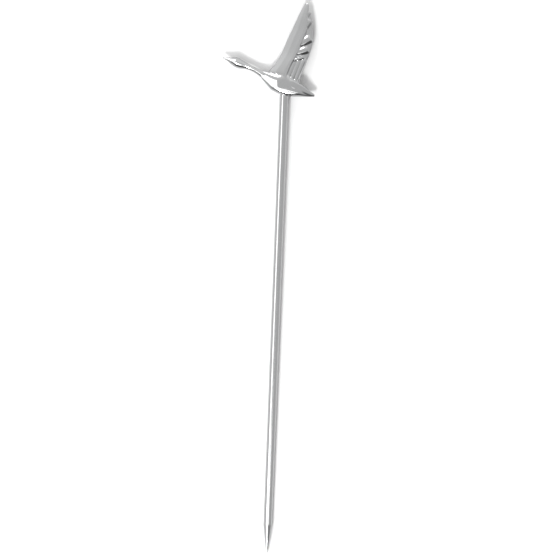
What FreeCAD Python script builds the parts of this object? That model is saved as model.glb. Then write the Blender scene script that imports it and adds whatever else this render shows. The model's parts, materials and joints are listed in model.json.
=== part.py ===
"""Cocktail pick: a cast flying bird brazed on the end of a pointed round steel stem.

Lengths are millimetres. In the drawing frame Y runs up the stem axis, X towards the tail and Z through
the thickness, with its origin where the axis leaves the belly. The finished pick lies on the table.
"""
import FreeCAD, Part
import Sketcher

import os

V = FreeCAD.Vector

# Driving dimensions: name, value, what it measures
SIZES = [
    ("stem_diameter", 2.0, "round wire of the stem"),
    ("stem_reach", 104.5, "belly to the end of the point"),
    ("point_length", 6.4, "ground taper of the point"),
    ("point_blunting", 0.24, "flat across the very end"),
    ("spigot_diameter", 1.5, "turned-down end of the stem that goes into the bird"),
    ("shoulder_drop", 0.05, "belly to the shoulder below the spigot"),
    ("collar_height", 0.7, "flare under the belly, from the shoulder up"),
    ("collar_flare", 0.08, "widening of the flare over the stem's radius"),
    ("socket_depth", 2.6, "blind hole up into the belly"),
    ("braze_gap", 0.03, "clearance all round the spigot in its hole"),
]

# Body from bill to tail, the lower of its two forms: name, place along X, top, bottom, half thickness
BODY_SECTIONS = [
    ("bill_end", -14.3, 8.42, 8.18, 0.12),
    ("bill_tip", -14.1, 8.48, 8.0, 0.26),
    ("bill", -13.3, 8.44, 7.55, 0.42),
    ("brow", -12.4, 8.36, 6.85, 0.7),
    ("crown", -11.4, 8.52, 6.2, 1.0),
    ("nape", -10.3, 8.08, 5.95, 0.98),
    ("upper_neck", -9.1, 7.42, 5.86, 0.78),
    ("neck", -7.8, 6.78, 5.5, 0.68),
    ("lower_neck", -6.4, 6.16, 4.75, 0.76),
    ("breast_front", -4.9, 5.6, 3.4, 1.12),
    ("breast", -3.0, 5.1, 1.35, 1.56),
    ("belly", -0.6, 4.3, 0.28, 1.74),
    ("flank", 1.8, 3.4, 0.0, 1.66),
    ("rump", 3.6, 2.4, 0.03, 1.2),
    ("tail", 5.4, 1.5, 0.05, 0.66),
    ("tail_tip", 6.7, 0.74, 0.1, 0.34),
    ("tail_end", 6.9, 0.56, 0.2, 0.2),
]

# Back over it, from under the wing to the tail, in the same terms
BACK_SECTIONS = [
    ("saddle", -4.0, 5.45, 5.15, 0.5),
    ("front_back", -2.4, 5.2, 3.95, 1.5),
    ("mid_back", -0.4, 4.75, 2.65, 1.86),
    ("low_back", 1.4, 4.1, 1.75, 1.84),
    ("rear_back", 3.0, 3.3, 1.15, 1.5),
    ("upper_tail", 4.4, 2.5, 0.78, 1.06),
    ("fan", 5.7, 1.5, 0.42, 0.66),
    ("fan_tip", 6.75, 0.78, 0.24, 0.36),
    ("fan_end", 6.94, 0.6, 0.3, 0.24),
]

# Front of the wing from root to tip: name, height, leading edge, rear edge, half thickness
WING_SECTIONS = [
    ("wing_root", 2.6, -0.6, 0.35, 1.4),
    ("wing_base", 3.7, -1.95, 0.4, 1.66),
    ("shoulder", 5.4, -3.75, 0.85, 1.66),
    ("upper_arm", 7.4, -2.25, 1.6, 1.5),
    ("elbow", 9.7, -0.98, 2.75, 1.3),
    ("forearm", 12.6, 0.12, 3.8, 1.1),
    ("wrist", 15.6, 1.4, 4.75, 0.9),
    ("hand", 18.2, 2.48, 5.2, 0.7),
    ("fingers", 20.0, 3.3, 5.05, 0.54),
    ("finger_ends", 21.0, 3.82, 4.88, 0.42),
    ("wing_tip", 21.42, 4.2, 4.6, 0.3),
]

# Vane behind it that carries the feathers, in the same terms
VANE_SECTIONS = [
    ("vane_root", 2.4, 0.0, 3.35, 1.24),
    ("inner_vane", 4.7, 0.2, 3.64, 1.12),
    ("vane_bend", 7.0, 0.9, 4.4, 1.0),
    ("vane_notch", 9.2, 1.6, 5.25, 0.9),
    ("mid_vane", 11.4, 2.2, 5.88, 0.78),
    ("broad_vane", 13.7, 2.6, 6.1, 0.66),
    ("outer_vane", 16.4, 3.2, 5.84, 0.54),
    ("vane_end", 19.4, 4.2, 5.22, 0.4),
]

# Feathers from the wing tip to the body: name, root point, tip point, half width, half thickness
FEATHERS = [
    ("primary_1", 3.9, 16.3, 4.85, 19.3, 0.7, 0.56),
    ("primary_2", 3.4, 13.7, 5.1, 17.1, 1.1, 0.73),
    ("primary_3", 2.9, 11.2, 5.5, 13.3, 1.4, 0.9),
    ("primary_4", 2.3, 9.0, 5.15, 10.4, 1.4, 1.06),
    ("secondary_1", 0.2, 2.6, 2.7, 8.7, 0.8, 1.36),
    ("secondary_2", 1.2, 2.4, 3.6, 8.7, 0.8, 1.27),
    ("secondary_3", 2.1, 2.3, 4.3, 8.3, 0.75, 1.15),
]

# Rings of a feather: share of the way from root to tip, share of its half width and thickness
FEATHER_RINGS = [(0, 0.7, 0.96), (0.35, 0.94, 1), (0.7, 1, 0.9), (0.9, 0.84, 0.76), (1, 0.56, 0.6)]

# Half of each ring at unit size: the body's ring is a full oval of smooth quarters with handles this long,
# the wing's has a bevel, a ridge, a flat panel and a step behind, the vane thins to its rear edge,
# and a feather stands proud along its upper edge
FULLNESS = 0.7
BLADE = [(-1, 0.1), (-0.93, 0.32), (-0.28, 0.72), (0.5, 0.98), (0.86, 1), (1, 0.62)]
THINNED = [(-1, 0.5), (-0.9, 1), (0.3, 0.9), (0.94, 0.55), (1, 0.35)]
SHINGLE = [(-1, 0), (-0.98, 0.5), (-0.72, 1), (-0.2, 0.97), (0.5, 0.86), (0.95, 0.5), (1, 0)]

FINE = 0.02
REST_ROUNDS = 12

doc = FreeCAD.newDocument("cocktail_pick")
sheet = doc.addObject("Spreadsheet::Sheet", "Sizes")
row = 0


def size(name, value, note=""):
    """Write one driving dimension to the sheet."""
    global row
    row += 1
    sheet.set(f"A{row}", name.replace("_", " "))
    sheet.set(f"B{row}", str(value))
    sheet.set(f"C{row}", note)
    sheet.setAlias(f"B{row}", name)


for name, value, note in SIZES:
    size(name, value, note)
for name, along, top, low, half in BODY_SECTIONS + BACK_SECTIONS:
    size(f"{name}_along", along)
    size(f"{name}_top", top)
    size(f"{name}_low", low)
    size(f"{name}_half", half)
for name, height, lead, rear, half in WING_SECTIONS + VANE_SECTIONS:
    size(f"{name}_height", height)
    size(f"{name}_lead", lead)
    size(f"{name}_rear", rear)
    size(f"{name}_half", half)
for name, root_x, root_y, tip_x, tip_y, wide, thick in FEATHERS:
    size(f"{name}_root_x", root_x)
    size(f"{name}_root_y", root_y)
    size(f"{name}_tip_x", tip_x)
    size(f"{name}_tip_y", tip_y)
    size(f"{name}_half_width", wide)
    size(f"{name}_half_thick", thick)
doc.recompute()


def bind(thing, **expressions):
    """Tie properties to the sheet, with double underscores for the dots of a property path."""
    for prop, expression in expressions.items():
        thing.setExpression(prop.replace("__", "."), expression)


def eased(rows, parts):
    """Each named section's sizes, and those of a section halfway to the next on a curve through four."""
    names = [row[0] for row in rows]
    for place, name in enumerate(names):
        yield name, [f"Sizes.{name}_{part}" for part in parts]
        if 0 < place < len(names) - 2:
            before, _, after, beyond = names[place - 1 : place + 3]
            yield f"past_{name}", [
                f"(9 * (Sizes.{name}_{part} + Sizes.{after}_{part})"
                f" - Sizes.{before}_{part} - Sizes.{beyond}_{part}) / 16"
                for part in parts
            ]


def loft(name, sections, ruled):
    """Close a run of sections into one solid, straight or curved from each section to the next."""
    skin = doc.addObject("Part::Loft", name)
    skin.Sections = sections
    skin.Solid = True
    skin.Ruled = ruled
    return skin


def unit_ring(name, edges):
    """A closed ring at unit size, which every section of its kind is stretched from."""
    unit = doc.addObject("Part::Feature", name)
    unit.Shape = Part.Wire([edge.toShape() for edge in edges])
    return unit


def faceted(half):
    """Straight edges through half a ring's corners and their mirror images."""
    corners = [V(x, y, 0) for x, y in half]
    corners += [V(x, -y, 0) for x, y in reversed(half) if y > 0]
    return [Part.LineSegment(start, end) for start, end in zip(corners, corners[1:] + corners[:1])]


quarters = []
for number in range(4):
    turn = FreeCAD.Rotation(V(0, 0, 1), 90 * number)
    quarter = Part.BezierCurve()
    quarter.setPoles([turn.multVec(V(*pole)) for pole in ((1, 0), (1, FULLNESS), (FULLNESS, 1), (0, 1))])
    quarters.append(quarter)
oval = unit_ring("oval", quarters)
blade = unit_ring("blade", faceted(BLADE))
thinned = unit_ring("thinned", faceted(THINNED))
shingle = unit_ring("shingle", faceted(SHINGLE))


def ring(name, unit, turn, wide, tall, x, y):
    """One section of a loft: a unit ring stretched to its half sizes and set in place."""
    section = doc.addObject("Part::Scale", f"{name}_section")
    section.Base = unit
    section.Uniform = False
    section.Placement = FreeCAD.Placement(V(), turn)
    bind(
        section,
        XScale=wide,
        YScale=tall,
        Placement__Base__x=f"({x}) * 1mm",
        Placement__Base__y=f"({y}) * 1mm",
    )
    return section


# Body and back: each one loft through upright rings
UPRIGHT = FreeCAD.Rotation(V(1, 1, 1), 120)
solids = []
for form, rows in (("body_form", BODY_SECTIONS), ("back_form", BACK_SECTIONS)):
    rings = []
    for name, (along, top, low, half) in eased(rows, ("along", "top", "low", "half")):
        rings.append(ring(name, oval, UPRIGHT, f"({top} - {low}) / 2", half, along, f"({top} + {low}) / 2"))
    solids.append(loft(form, rings, True))

# Wing: its front and its vane, each one loft through level rings, from inside the back upwards
LEVEL = FreeCAD.Rotation(V(1, 0, 0), 90)
for form, unit, rows in (("wing_front", blade, WING_SECTIONS), ("vane", thinned, VANE_SECTIONS)):
    rings = []
    for name, *_ in rows:
        wide = f"(Sizes.{name}_rear - Sizes.{name}_lead) / 2"
        middle = f"(Sizes.{name}_rear + Sizes.{name}_lead) / 2"
        rings.append(ring(name, unit, LEVEL, wide, f"Sizes.{name}_half", middle, f"Sizes.{name}_height"))
    solids.append(loft(form, rings, False))

# Feathers: each a loft of rings strung from its root to its tip, square to that line
doc.recompute()
for name, *_ in FEATHERS:
    root = V(sheet.get(f"{name}_root_x"), sheet.get(f"{name}_root_y"), 0)
    run = V(sheet.get(f"{name}_tip_x"), sheet.get(f"{name}_tip_y"), 0) - root
    across = FreeCAD.Rotation(V(run.y, -run.x, 0), V(0, 0, 1), run, "ZXY")
    rings = []
    for number, (share, width, thickness) in enumerate(FEATHER_RINGS, 1):
        wide = f"{width} * Sizes.{name}_half_width"
        thick = f"{thickness} * Sizes.{name}_half_thick"
        x, y = (
            f"Sizes.{name}_root_{axis} + {share} * (Sizes.{name}_tip_{axis} - Sizes.{name}_root_{axis})"
            for axis in "xy"
        )
        rings.append(ring(f"{name}_{number}", shingle, across, wide, thick, x, y))
    solids.append(loft(f"{name}_form", rings, False))

# Collar: a short flare under the belly that meets the stem's shoulder
collar = doc.addObject("Part::Cone", "collar")
collar.Placement = FreeCAD.Placement(V(), FreeCAD.Rotation(V(1, 0, 0), -90))
bind(
    collar,
    Radius1="Sizes.stem_diameter / 2 * 1mm",
    Radius2="(Sizes.stem_diameter / 2 + Sizes.collar_flare) * 1mm",
    Height="Sizes.collar_height * 1mm",
    Placement__Base__y="-Sizes.shoulder_drop * 1mm",
)
solids.append(collar)

# Bird: everything above in one casting, with a blind hole up into the belly for the spigot
casting = solids[0]
for form in solids[1:]:
    joined = doc.addObject("Part::Fuse", f"with_{form.Name}")
    joined.Base = casting
    joined.Tool = form
    joined.Refine = False
    casting = joined
hole = doc.addObject("Part::Cylinder", "stem_hole")
hole.Placement = FreeCAD.Placement(V(), FreeCAD.Rotation(V(1, 0, 0), 90))
bind(
    hole,
    Radius="(Sizes.spigot_diameter / 2 + Sizes.braze_gap) * 1mm",
    Height="2 * Sizes.socket_depth * 1mm",
    Placement__Base__y="Sizes.socket_depth * 1mm",
)
bird = doc.addObject("Part::Cut", "flying_bird")
bird.Base = casting
bird.Tool = hole
bird.Refine = False

# Stem: drawn wire with a ground point and a spigot below its shoulder, turned about its own axis
stem = doc.addObject("PartDesign::Body", "pointed_stem")
profile = stem.newObject("Sketcher::SketchObject", "stem_profile")
front = next(plane for plane in stem.Origin.OriginFeatures if plane.Role == "XY_Plane")
profile.AttachmentSupport = [(front, "")]
profile.MapMode = "FlatFace"
radius = sheet.get("stem_diameter") / 2
spigot = sheet.get("spigot_diameter") / 2
drop = sheet.get("shoulder_drop")
reach = sheet.get("stem_reach")
depth = sheet.get("socket_depth")
blunt = sheet.get("point_blunting") / 2
taper_top = sheet.get("point_length") - reach
outline = [V(0, depth, 0), V(spigot, depth, 0), V(spigot, -drop, 0), V(radius, -drop, 0)]
outline += [V(radius, taper_top, 0), V(blunt, -reach, 0), V(0, -reach, 0)]
for start, end in zip(outline, outline[1:] + outline[:1]):
    profile.addGeometry(Part.LineSegment(start, end))
END, SPIGOT, SHOULDER, SHANK, TAPER, POINT, AXIS = sides = range(7)
for side in sides:
    profile.addConstraint(Sketcher.Constraint("Coincident", side, 2, (side + 1) % len(sides), 1))
for rule in (
    ("PointOnObject", AXIS, 1, -2),
    ("PointOnObject", AXIS, 2, -2),
    ("Horizontal", END),
    ("Vertical", SPIGOT),
    ("Horizontal", SHOULDER),
    ("Vertical", SHANK),
    ("Horizontal", POINT),
):
    profile.addConstraint(Sketcher.Constraint(*rule))
for rule, value, expression in (
    (("DistanceX", -1, 1, END, 2), spigot, "Sizes.spigot_diameter / 2 * 1mm"),
    (("DistanceX", -1, 1, SHANK, 1), radius, "Sizes.stem_diameter / 2 * 1mm"),
    (("DistanceY", SHANK, 1, -1, 1), drop, "Sizes.shoulder_drop * 1mm"),
    (("DistanceY", -1, 1, END, 1), depth, "Sizes.socket_depth * 1mm"),
    (("DistanceY", AXIS, 1, -1, 1), reach, "Sizes.stem_reach * 1mm"),
    (("DistanceY", AXIS, 1, SHANK, 2), taper_top + reach, "Sizes.point_length * 1mm"),
    (("DistanceX", -1, 1, TAPER, 2), blunt, "Sizes.point_blunting / 2 * 1mm"),
):
    number = profile.addConstraint(Sketcher.Constraint(*rule, value))
    profile.setExpression(f"Constraints[{number}]", expression)
turned = stem.newObject("PartDesign::Revolution", "turned_stem")
turned.Profile = (profile, [""])
turned.ReferenceAxis = (profile, ["V_Axis"])
turned.Angle = 360
doc.recompute()


def check(thing):
    """Stop if an object failed or holds no sound shape."""
    if any(state in thing.State for state in ("Invalid", "Error")):
        raise RuntimeError(f"{thing.Label} failed: {thing.State}")
    if hasattr(thing, "Shape") and (thing.Shape.isNull() or not thing.Shape.isValid()):
        raise RuntimeError(f"{thing.Label} has no sound shape")


for thing in doc.Objects:
    if not thing.isDerivedFrom("App::DatumElement"):
        check(thing)

# Rest: the pick lies on its point and on the bird, touching on both sides of its balance line
masses = [piece.Shape.Solids[0] for piece in (bird, stem)]
balance = sum(solid.CenterOfMass.x * solid.Volume for solid in masses) / sum(solid.Volume for solid in masses)
stem_points = stem.Shape.copy().tessellate(FINE)[0]
bird_points = bird.Shape.copy().tessellate(FINE)[0]
feet = (
    [place for place in stem_points if place.y < -reach / 2],
    [place for place in bird_points if place.x > balance],
    [place for place in bird_points if place.x < balance],
)
up = V(0, 0, 1)
for _ in range(REST_ROUNDS):
    point, tail_side, head_side = (min(places, key=lambda place: place.dot(up)) for places in feet)
    up = (head_side - point).cross(tail_side - point)
    up.normalize()
    up = up if up.z > 0 else -up
lay = FreeCAD.Rotation(up, V(0, 0, 1))
laid = [lay.multVec(place) for place in stem_points + bird_points]
span_x, span_y, span_z = ([getattr(place, axis) for place in laid] for axis in "xyz")
centre = V((min(span_x) + max(span_x)) / 2, (min(span_y) + max(span_y)) / 2, min(span_z))
rest = FreeCAD.Placement(-centre, lay)
bird.Placement = rest
stem.Placement = rest
doc.recompute()

os.makedirs("parts", exist_ok=True)
for piece in (bird, stem):
    check(piece)
    piece.Shape.exportStep(f"parts/{piece.Label}.step")
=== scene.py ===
import json
import math

import bmesh
import bpy
from mathutils import Matrix, Quaternion, Vector


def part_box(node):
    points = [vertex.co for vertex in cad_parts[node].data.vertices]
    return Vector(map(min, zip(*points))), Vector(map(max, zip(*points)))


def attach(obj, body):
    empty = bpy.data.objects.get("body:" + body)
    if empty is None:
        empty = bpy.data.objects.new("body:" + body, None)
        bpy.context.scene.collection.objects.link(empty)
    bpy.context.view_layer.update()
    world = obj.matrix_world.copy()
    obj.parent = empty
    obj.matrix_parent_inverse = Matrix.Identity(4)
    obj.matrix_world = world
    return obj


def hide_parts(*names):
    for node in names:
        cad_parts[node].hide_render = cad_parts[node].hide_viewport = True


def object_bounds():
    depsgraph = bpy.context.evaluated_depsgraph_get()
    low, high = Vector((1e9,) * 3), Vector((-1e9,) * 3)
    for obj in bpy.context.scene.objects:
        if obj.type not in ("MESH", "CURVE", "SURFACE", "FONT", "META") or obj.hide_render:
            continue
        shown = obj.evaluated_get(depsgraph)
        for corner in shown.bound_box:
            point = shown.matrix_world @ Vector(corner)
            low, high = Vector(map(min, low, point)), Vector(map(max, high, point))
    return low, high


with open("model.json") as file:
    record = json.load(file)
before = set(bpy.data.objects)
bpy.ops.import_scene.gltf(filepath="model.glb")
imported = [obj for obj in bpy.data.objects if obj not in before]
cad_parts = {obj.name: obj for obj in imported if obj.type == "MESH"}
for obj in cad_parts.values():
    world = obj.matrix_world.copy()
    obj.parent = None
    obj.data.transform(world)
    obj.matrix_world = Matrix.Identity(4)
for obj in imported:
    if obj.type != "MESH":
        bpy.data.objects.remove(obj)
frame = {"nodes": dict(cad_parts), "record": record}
cad_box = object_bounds()

# Stem
# A straight length of round bright-drawn stainless wire, ground to a point at one end. The other end is
# brazed into a blind hole in the bird's belly. It was polished along its length, which leaves faint lines.
MM = 0.001
STEM_REACH = 104.5 * MM
SHOULDER_DROP = 0.05 * MM
SOCKET_DEPTH = 2.6 * MM
POINT_LENGTH = 6.4 * MM
NOSE_RADIUS = 0.2 * MM
NOSE_STEPS = 8
RIM_WIDTH = 0.1 * MM
MERGED_WITHIN = 0.002 * MM
STEM_SIDES = 160
WIRE_GREY = (0.74, 0.745, 0.75, 1)
WIRE_STRETCH = (1, 0.02, 1)
WIRE_GRAIN = 9000.0
WIRE_RIPPLE = 0.002 * MM
WIRE_ROUGHNESS = 0.07
SMUDGE_SCALE = 160.0
SWELL_SCALE = 420.0
NOISE_ROUGHNESS = 0.55
LINE_DEPTH = 0.0006 * MM
LEAST_TONE = 0.94
TONE_SPREAD = 0.08
SMUDGE_DULLING = 0.07
LINE_DULLING = 0.05

grip = frame["record"]["mounts"][0]
stem_radius = grip["dims"]["r_mm"] * MM
shank_length = grip["dims"]["length_mm"] * MM
stem_up = -Vector(grip["axis"]).normalized()
belly = Vector(grip["pos_m"]) + stem_up * (shank_length / 2 + SHOULDER_DROP)

cast_corners = [corner.co for corner in frame["nodes"]["flying_bird"].data.vertices]
bill_end = min(cast_corners, key=lambda place: place.x)
tail_end = max(cast_corners, key=lambda place: place.x)
face_up = (tail_end - bill_end).cross(stem_up).normalized()
tailward = stem_up.cross(face_up)
lying = Matrix.Translation(belly) @ Matrix((tailward, stem_up, face_up)).transposed().to_4x4()


class Reading:
    """One output of a shader node, which takes part in sums and products as a number does."""

    def __init__(self, finish, socket):
        self.finish = finish
        self.socket = socket

    def combine(self, operation, other):
        return self.finish.node("ShaderNodeMath", {"operation": operation}, {0: self, 1: other})["Value"]

    def __add__(self, other):
        return self.combine("ADD", other)

    def __mul__(self, other):
        return self.combine("MULTIPLY", other)

    __radd__ = __add__
    __rmul__ = __mul__


class Finish:
    """The nodes of one material, or of the surroundings, as they are put together."""

    def __init__(self, tree):
        self.tree = tree
        tree.nodes.clear()

    def node(self, kind, settings=None, inputs=None):
        """Add a node with its settings, and with values or links in its sockets, and return its outputs."""
        made = self.tree.nodes.new(kind)
        for name, value in (settings or {}).items():
            if name == "stops":
                self.grade(made.color_ramp, value)
            else:
                setattr(made, name, value)
        for name, value in (inputs or {}).items():
            if isinstance(name, int):
                socket = made.inputs[name]
            else:
                socket = next(port for port in made.inputs if port.enabled and port.name == name)
            if isinstance(value, Reading):
                self.tree.links.new(value.socket, socket)
            else:
                socket.default_value = value
        return {port.name: Reading(self, port) for port in made.outputs if port.enabled}

    def grade(self, ramp, stops):
        """Give a ramp its greys, each a place along it and a brightness."""
        while len(ramp.elements) < len(stops):
            ramp.elements.new(1.0)
        for stop, (place, grey) in zip(ramp.elements, stops):
            stop.position = place
            stop.color = (grey, grey, grey, 1)


def polished_metal(name, grey, stretch, grain, ripple, roughness):
    """Bright polished metal: soft ripples, fine lines or pits, and a slightly uneven tone and gloss."""
    material = bpy.data.materials.new(name)
    material.use_nodes = True
    finish = Finish(material.node_tree)

    def noise(vector, scale, detail):
        inputs = {"Vector": vector, "Scale": scale, "Detail": detail, "Roughness": NOISE_ROUGHNESS}
        return finish.node("ShaderNodeTexNoise", {}, inputs)["Fac"]

    def raised(height, distance, **under):
        inputs = {"Strength": 1.0, "Distance": distance, "Height": height, **under}
        return finish.node("ShaderNodeBump", {}, inputs)["Normal"]

    place = finish.node("ShaderNodeTexCoord")["Object"]
    drawn = finish.node("ShaderNodeMapping", {}, {"Vector": place, "Scale": stretch})["Vector"]
    lines = noise(drawn, grain, detail=3.0)
    smudge = noise(place, SMUDGE_SCALE, detail=2.0)
    swell = noise(place, SWELL_SCALE, detail=1.0)
    tone = LEAST_TONE + TONE_SPREAD * smudge
    multiply = {"data_type": "RGBA", "blend_type": "MULTIPLY"}
    tint = finish.node("ShaderNodeMix", multiply, {"Factor": 1.0, "A": grey, "B": tone})["Result"]
    look = {
        "Base Color": tint,
        "Metallic": 1.0,
        "Roughness": roughness + SMUDGE_DULLING * smudge + LINE_DULLING * lines,
        "Normal": raised(lines, LINE_DEPTH, Normal=raised(swell, ripple)),
    }
    surface = finish.node("ShaderNodeBsdfPrincipled", {}, look)["BSDF"]
    finish.node("ShaderNodeOutputMaterial", {}, {"Surface": surface})
    return material


def piece_from(mesh, name, material):
    """Turn a finished bmesh into a smooth-shaded object of the scene."""
    bmesh.ops.recalc_face_normals(mesh, faces=mesh.faces)
    data = bpy.data.meshes.new(name)
    mesh.to_mesh(data)
    mesh.free()
    data.shade_smooth()
    data.materials.append(material)
    piece = bpy.data.objects.new(name, data)
    bpy.context.scene.collection.objects.link(piece)
    return piece


# Narrow rings beside each rim keep the shading of the long shank straight
shank_end = POINT_LENGTH - STEM_REACH
point_slope = math.atan2(stem_radius - NOSE_RADIUS, POINT_LENGTH - NOSE_RADIUS)
outline = [
    Vector((0, SOCKET_DEPTH, 0)),
    Vector((stem_radius - RIM_WIDTH, SOCKET_DEPTH, 0)),
    Vector((stem_radius, SOCKET_DEPTH - RIM_WIDTH, 0)),
    Vector((stem_radius, SOCKET_DEPTH - 2 * RIM_WIDTH, 0)),
    Vector((stem_radius, shank_end + RIM_WIDTH, 0)),
    Vector((stem_radius, shank_end, 0)),
    Vector((stem_radius - RIM_WIDTH * math.tan(point_slope), shank_end - RIM_WIDTH, 0)),
]
for step in range(NOSE_STEPS + 1):
    turn = -point_slope - (math.pi / 2 - point_slope) * step / NOSE_STEPS
    nose = Vector((math.cos(turn), math.sin(turn), 0)) * NOSE_RADIUS
    outline.append(nose + Vector((0, NOSE_RADIUS - STEM_REACH, 0)))
wire = bmesh.new()
corners = [wire.verts.new(place) for place in outline]
edges = [wire.edges.new(pair) for pair in zip(corners, corners[1:])]
bmesh.ops.spin(
    wire,
    geom=corners + edges,
    axis=(0, 1, 0),
    cent=(0, 0, 0),
    angle=math.tau,
    steps=STEM_SIDES,
    use_merge=True,
)
bmesh.ops.remove_doubles(wire, verts=wire.verts, dist=MERGED_WITHIN)
bmesh.ops.transform(wire, matrix=lying, verts=wire.verts)
drawn_wire = polished_metal("drawn_wire", WIRE_GREY, WIRE_STRETCH, WIRE_GRAIN, WIRE_RIPPLE, WIRE_ROUGHNESS)
stem = piece_from(wire, "stem", drawn_wire)
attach(stem, "root")
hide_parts("pointed_stem")

# Bird
# A goose in flight, cast in one piece in steel, full round, and tumbled and buffed bright, so every ridge
# and groove is a little soft. Body, wing front, rump and feathers are strings of sections in one casting.
NECK = [  # all in mm from the stem's place on the belly: along, top, bottom, half thickness
    (-14.3, 8.42, 8.18, 0.12),
    (-14.1, 8.48, 8.0, 0.24),
    (-13.3, 8.44, 7.55, 0.4),
    (-12.4, 8.36, 6.85, 0.68),
    (-11.4, 8.52, 6.2, 0.98),
    (-10.3, 8.08, 5.95, 0.9),
    (-9.1, 7.42, 5.86, 0.68),
    (-7.8, 6.78, 5.5, 0.6),
    (-6.4, 6.16, 4.75, 0.66),
    (-4.9, 5.6, 3.6, 0.74),
    (-3.6, 5.1, 2.6, 0.8),
]
BODY = [  # in the same terms
    (-6.2, 6.0, 5.0, 0.4),
    (-4.9, 5.62, 3.4, 0.68),
    (-4.0, 5.4, 2.4, 0.96),
    (-3.0, 5.2, 1.4, 1.3),
    (-1.5, 4.95, 0.65, 1.76),
    (0.2, 5.3, 0.12, 1.8),
    (1.8, 3.95, 0.0, 1.72),
    (3.4, 2.5, 0.03, 1.46),
    (4.4, 1.85, 0.04, 1.0),
    (5.4, 1.3, 0.05, 0.6),
    (6.7, 0.7, 0.1, 0.3),
    (6.9, 0.54, 0.2, 0.18),
]
BACK = [  # in the same terms
    (-0.6, 3.4, 2.6, 1.4),
    (0.8, 3.9, 1.75, 1.72),
    (1.8, 3.9, 1.42, 1.76),
    (3.0, 3.3, 1.1, 1.55),
    (4.4, 2.5, 0.74, 1.1),
    (5.7, 1.5, 0.42, 0.64),
    (6.75, 0.78, 0.24, 0.36),
    (6.94, 0.6, 0.3, 0.24),
]
WING = [  # height, leading edge, rear edge, half thickness
    (2.6, -1.1, 0.1, 1.66),
    (3.7, -2.1, 0.4, 1.76),
    (4.6, -2.95, 0.6, 1.72),
    (5.4, -3.75, 0.85, 1.66),
    (7.4, -2.25, 1.6, 1.5),
    (9.7, -0.98, 2.75, 1.3),
    (12.6, 0.12, 3.8, 1.1),
    (15.6, 1.4, 4.75, 0.9),
    (18.2, 2.48, 4.75, 0.7),
    (20.0, 3.3, 4.85, 0.54),
    (21.0, 3.82, 4.88, 0.42),
    (21.42, 4.2, 4.6, 0.3),
]
VANE = [  # in the same terms
    (2.4, 0.0, 3.35, 1.24),
    (4.7, 0.2, 3.64, 1.12),
    (7.0, 0.9, 4.4, 1.0),
    (9.2, 1.6, 5.25, 0.9),
    (11.4, 2.2, 5.88, 0.78),
    (13.7, 2.6, 6.1, 0.66),
    (16.4, 3.2, 5.84, 0.54),
    (19.4, 4.2, 5.22, 0.4),
]
FEATHERS = [  # from the wing tip to the body: root, tip, half width, half thickness
    ((3.9, 16.9), (5.0, 19.4), 0.6, 0.56),
    ((3.5, 14.2), (5.25, 17.6), 0.8, 0.8),
    ((2.7, 11.4), (5.65, 13.4), 1.04, 1.0),
    ((1.8, 9.5), (5.1, 10.8), 1.0, 1.18),
    ((1.5, 8.05), (4.3, 8.95), 0.56, 1.3),
    ((0.2, 2.6), (2.6, 8.7), 0.74, 1.32),
    ((1.2, 2.4), (3.5, 8.8), 0.74, 1.28),
    ((2.1, 2.3), (4.4, 8.7), 0.7, 1.2),
]
FEATHER_RUN = [  # share of the way from root to tip, shares of the half width and half thickness there
    (0, 0.7, 0.98),
    (0.35, 0.94, 1),
    (0.7, 1, 0.92),
    (0.9, 0.97, 0.84),
    (1, 0.84, 0.68),
]

# The upper half of each section at unit size, from its front to its rear, or from a feather's upper side down
WING_HALF = [(-1, 0.1), (-0.93, 0.32), (-0.3, 0.8), (0.5, 0.98), (0.86, 1), (1, 0.62)]
VANE_HALF = [(-1, 0.5), (-0.9, 0.86), (0.3, 0.82), (0.9, 0.6), (1, 0.35)]
FEATHER_HALF = [(-1, 0.5), (-0.95, 0.8), (-0.58, 0.98), (-0.2, 1), (0.3, 0.95), (0.7, 0.68), (1, 0.4)]

# How full the ovals are: 2 is a true oval, less has a ridge along the middle and more has flat sides
NECK_FULLNESS = 1.55
BODY_FULLNESS = 3.6
BACK_FULLNESS = 5
OVAL_SIDES = 48
STEPS_BETWEEN = 6
FUSED_WITHIN = 0.074
SMOOTHING_ROUNDS = 5
SMOOTHING = 0.5
CAST_GREY = (0.74, 0.745, 0.75, 1)
CAST_STRETCH = (1, 1, 1)
CAST_GRAIN = 3000.0
CAST_RIPPLE = 0.02 * MM
CAST_ROUGHNESS = 0.07


def between(before, start, end, after, share):
    """A size part of the way from start to end, on the smooth curve that the four sizes lie on."""
    bend = 2 * before - 5 * start + 4 * end - after
    twist = 3 * (start - end) + after - before
    return start + 0.5 * share * (end - before + share * (bend + share * twist))


def eased(rows):
    """Fill in steps between rows of sizes along smooth curves through them."""
    filled = []
    padded = [rows[0], *rows, rows[-1]]
    for four in zip(padded, padded[1:], padded[2:], padded[3:]):
        for step in range(STEPS_BETWEEN):
            filled.append([between(*sizes, step / STEPS_BETWEEN) for sizes in zip(*four)])
    return [*filled, rows[-1]]


def both_faces(half):
    """A closed outline from the upper half of it: the bird's two faces are alike."""
    return [Vector((x, 0, z)) for x, z in half] + [Vector((x, 0, -z)) for x, z in reversed(half)]


def oval(fullness):
    """A closed upright outline at unit size."""
    outline = []
    for side in range(OVAL_SIDES):
        turn = math.tau * side / OVAL_SIDES
        parts = (math.cos(turn), math.sin(turn))
        outline.append(Vector((0, *(math.copysign(abs(part) ** (2 / fullness), part) for part in parts))))
    return outline


def sized(x, y, wide, deep, high):
    """The place of a section: its middle, and its half sizes along the three axes."""
    return Matrix.Translation((x, y, 0)) @ Matrix.Diagonal((wide, deep, high, 1))


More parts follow.
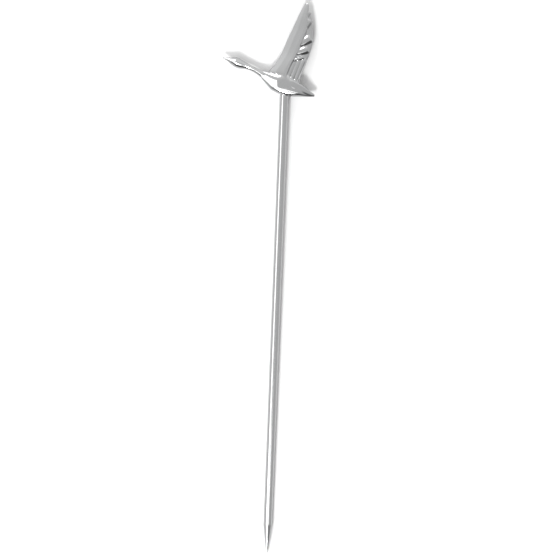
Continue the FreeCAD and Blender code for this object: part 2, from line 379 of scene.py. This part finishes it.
def string_out(mesh, outline, places):
    """Run a closed outline through a row of places that size and set it, and close both ends."""
    corners = [mesh.verts.new(places[0] @ point) for point in outline]
    edges = [mesh.edges.new(pair) for pair in zip(corners, corners[1:] + corners[:1])]
    bmesh.ops.contextual_create(mesh, geom=edges)
    for before, after in zip(places, places[1:]):
        grown = bmesh.ops.extrude_edge_only(mesh, edges=edges)["geom"]
        corners = {item for item in grown if isinstance(item, bmesh.types.BMVert)}
        rungs = [item for item in grown if isinstance(item, bmesh.types.BMEdge)]
        edges = [edge for edge in rungs if corners.issuperset(edge.verts)]
        bmesh.ops.transform(mesh, matrix=after @ before.inverted(), verts=list(corners))
    bmesh.ops.contextual_create(mesh, geom=edges)


forms = bmesh.new()
for rows, fullness in ((NECK, NECK_FULLNESS), (BODY, BODY_FULLNESS), (BACK, BACK_FULLNESS)):
    places = [
        sized(along, (top + low) / 2, 1, (top - low) / 2, half)
        for along, top, low, half in eased(rows)
    ]
    string_out(forms, oval(fullness), places)
for rows, half_outline in ((WING, WING_HALF), (VANE, VANE_HALF)):
    places = [
        sized((lead + rear) / 2, height, (rear - lead) / 2, 1, half)
        for height, lead, rear, half in eased(rows)
    ]
    string_out(forms, both_faces(half_outline), places)
for root, tip, half_wide, half_thick in FEATHERS:
    root, tip = Vector(root).to_3d(), Vector(tip).to_3d()
    run = (tip - root).normalized()
    across = run.cross(Vector((0, 0, 1)))
    turned = Matrix((across, run, Vector((0, 0, 1)))).transposed().to_4x4()
    places = []
    for share, wide, thick in eased(FEATHER_RUN):
        there = Matrix.Translation(root.lerp(tip, share)) @ turned
        places.append(there @ sized(0, 0, wide * half_wide, 1, thick * half_thick))
    string_out(forms, both_faces(FEATHER_HALF), places)
bmesh.ops.recalc_face_normals(forms, faces=forms.faces)

# The forms are fused into one skin and rubbed down, still in mm, and then set on the stem in metres
pattern = bpy.data.meshes.new("bird_pattern")
forms.to_mesh(pattern)
forms.free()
mould = bpy.data.objects.new("bird_mould", pattern)
bpy.context.scene.collection.objects.link(mould)
fused = mould.modifiers.new("fused", "REMESH")
fused.mode = "VOXEL"
fused.voxel_size = FUSED_WITHIN
casting = bmesh.new()
casting.from_object(mould, bpy.context.evaluated_depsgraph_get())
bpy.data.objects.remove(mould)
rubbing = {"factor": SMOOTHING, "use_axis_x": True, "use_axis_y": True, "use_axis_z": True}
for _ in range(SMOOTHING_ROUNDS):
    bmesh.ops.smooth_vert(casting, verts=casting.verts, **rubbing)
bmesh.ops.transform(casting, matrix=lying @ Matrix.Scale(MM, 4), verts=casting.verts)
cast_metal = polished_metal("cast_metal", CAST_GREY, CAST_STRETCH, CAST_GRAIN, CAST_RIPPLE, CAST_ROUGHNESS)
goose = piece_from(casting, "goose", cast_metal)
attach(goose, "root")
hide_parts("flying_bird")

# Table, light and camera
# The pick lies on a plain white sheet in a light tent, dim on the near side and brighter on the far side.
# The metal mirrors soft lamps on the left and near sides, a long narrow one almost overhead and one behind,
# and a small strong one casts the shadow.
SHEET_SIZE = 3.0
SHEET_GREY = 0.8
SHEET_GREY_PAINTED_DARKER_IN_METAL = 0.5  # painted shade: the sheet is made darker where the metal mirrors it, so the metal's edges come out darker
SHEET_GLOW = 0.06
TENT_TOWARDS = math.radians(100)
TENT_GREYS = [  # place from the near side to the far side, brightness
    (0, 0.05),
    (0.2, 0.1),
    (0.3, 0.3),
    (0.4, 0.48),
    (0.5, 0.52),
    (0.6, 0.55),
    (0.7, 0.65),
    (0.85, 0.78),
]
LAMPS = [  # name, azimuth, angle from overhead, turn, distance, width, height, brightness
    ("left_lamp", 194, 40, 0, 0.7, 0.34, 0.33, 1.45),
    ("near_left_lamp", 228, 43, 0, 0.7, 0.3, 0.48, 1.45),
    ("near_lamp", 258, 41, 0, 0.7, 0.36, 0.3, 1.45),
    ("shadow_lamp", 254, 42, 0, 0.7, 0.15, 0.15, 46.0),
    ("rear_lamp", 115, 60, 0, 0.7, 0.32, 0.32, 4.0),
    ("point_lamp", 242, 18, 28, 0.65, 0.64, 0.1, 1.3),
]
PIXEL = 0.22857 * MM
PHOTO_MIDDLE = 278
POINT_PIXEL_X, POINT_PIXEL_Y = 266.7, 553
CAMERA_TURN = math.radians(2.2)
CAMERA_HEIGHT = 0.9
SENSOR_WIDTH = 36.0

paper = bmesh.new()
bmesh.ops.create_grid(paper, x_segments=1, y_segments=1, size=SHEET_SIZE / 2)
white_sheet = bpy.data.materials.new("white_sheet")
white_sheet.use_nodes = True
finish = Finish(white_sheet.node_tree)
ray = finish.node("ShaderNodeLightPath")
# Painted shade in the metal: glossy rays see the sheet darker than the camera does
sheet_grey_with_painted_shade = SHEET_GREY + (SHEET_GREY_PAINTED_DARKER_IN_METAL - SHEET_GREY) * ray["Is Glossy Ray"]
matt = finish.node("ShaderNodeBsdfDiffuse", {}, {"Color": sheet_grey_with_painted_shade})["BSDF"]
glow = finish.node("ShaderNodeEmission", {}, {"Strength": SHEET_GLOW * ray["Is Camera Ray"]})["Emission"]
both = finish.node("ShaderNodeAddShader", {}, {0: matt, 1: glow})["Shader"]
finish.node("ShaderNodeOutputMaterial", {}, {"Surface": both})
table = piece_from(paper, "white_sheet", white_sheet)

tent = bpy.data.worlds.new("tent")
bpy.context.scene.world = tent
tent.use_nodes = True
finish = Finish(tent.node_tree)
far_side = Vector((math.cos(TENT_TOWARDS), math.sin(TENT_TOWARDS), 0))
way = finish.node("ShaderNodeTexCoord")["Generated"]
farness = finish.node("ShaderNodeVectorMath", {"operation": "DOT_PRODUCT"}, {0: way, 1: far_side})["Value"]
cloth = finish.node("ShaderNodeValToRGB", {"stops": TENT_GREYS}, {"Fac": 0.5 + 0.5 * farness})["Color"]
lit_cloth = finish.node("ShaderNodeBackground", {}, {"Color": cloth, "Strength": 1.0})["Background"]
finish.node("ShaderNodeOutputWorld", {}, {"Surface": lit_cloth})

bird_middle = sum((Vector(corner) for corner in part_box("flying_bird")), Vector()) / 2
for name, azimuth, polar, turn, distance, width, height, brightness in LAMPS:
    lamp = bpy.data.lights.new(name, "AREA")
    lamp.shape = "RECTANGLE"
    lamp.size, lamp.size_y = width, height
    lamp.energy = brightness * math.pi * width * height
    outwards = Matrix.Rotation(math.radians(azimuth), 3, "Z") @ Matrix.Rotation(math.radians(polar), 3, "Y")
    away = outwards @ Vector((0, 0, 1))
    facing = away.to_track_quat("Z", "Y") @ Quaternion((0, 0, 1), math.radians(turn))
    holder = bpy.data.objects.new(name, lamp)
    bpy.context.scene.collection.objects.link(holder)
    holder.location = bird_middle + away * distance
    holder.rotation_euler = facing.to_euler()

photo_right = Vector((math.cos(CAMERA_TURN), math.sin(CAMERA_TURN), 0))
photo_up = Vector((-math.sin(CAMERA_TURN), math.cos(CAMERA_TURN), 0))
point = belly - stem_up * STEM_REACH
right_of_point = photo_right * (PHOTO_MIDDLE - POINT_PIXEL_X) * PIXEL
above_point = photo_up * (POINT_PIXEL_Y - PHOTO_MIDDLE) * PIXEL
target = point + right_of_point + above_point
cad_middle = (cad_box[0] + cad_box[1]) / 2
camera = bpy.data.objects.new("camera", bpy.data.cameras.new("camera"))
bpy.context.scene.collection.objects.link(camera)
camera.data.sensor_width = SENSOR_WIDTH
camera.data.lens = SENSOR_WIDTH * CAMERA_HEIGHT / (2 * PHOTO_MIDDLE * PIXEL)
camera.location = (target.x, target.y, cad_middle.z + CAMERA_HEIGHT)
camera.rotation_euler = (0, 0, CAMERA_TURN)
bpy.context.scene.camera = camera
bpy.context.scene.view_settings.view_transform = "Standard"
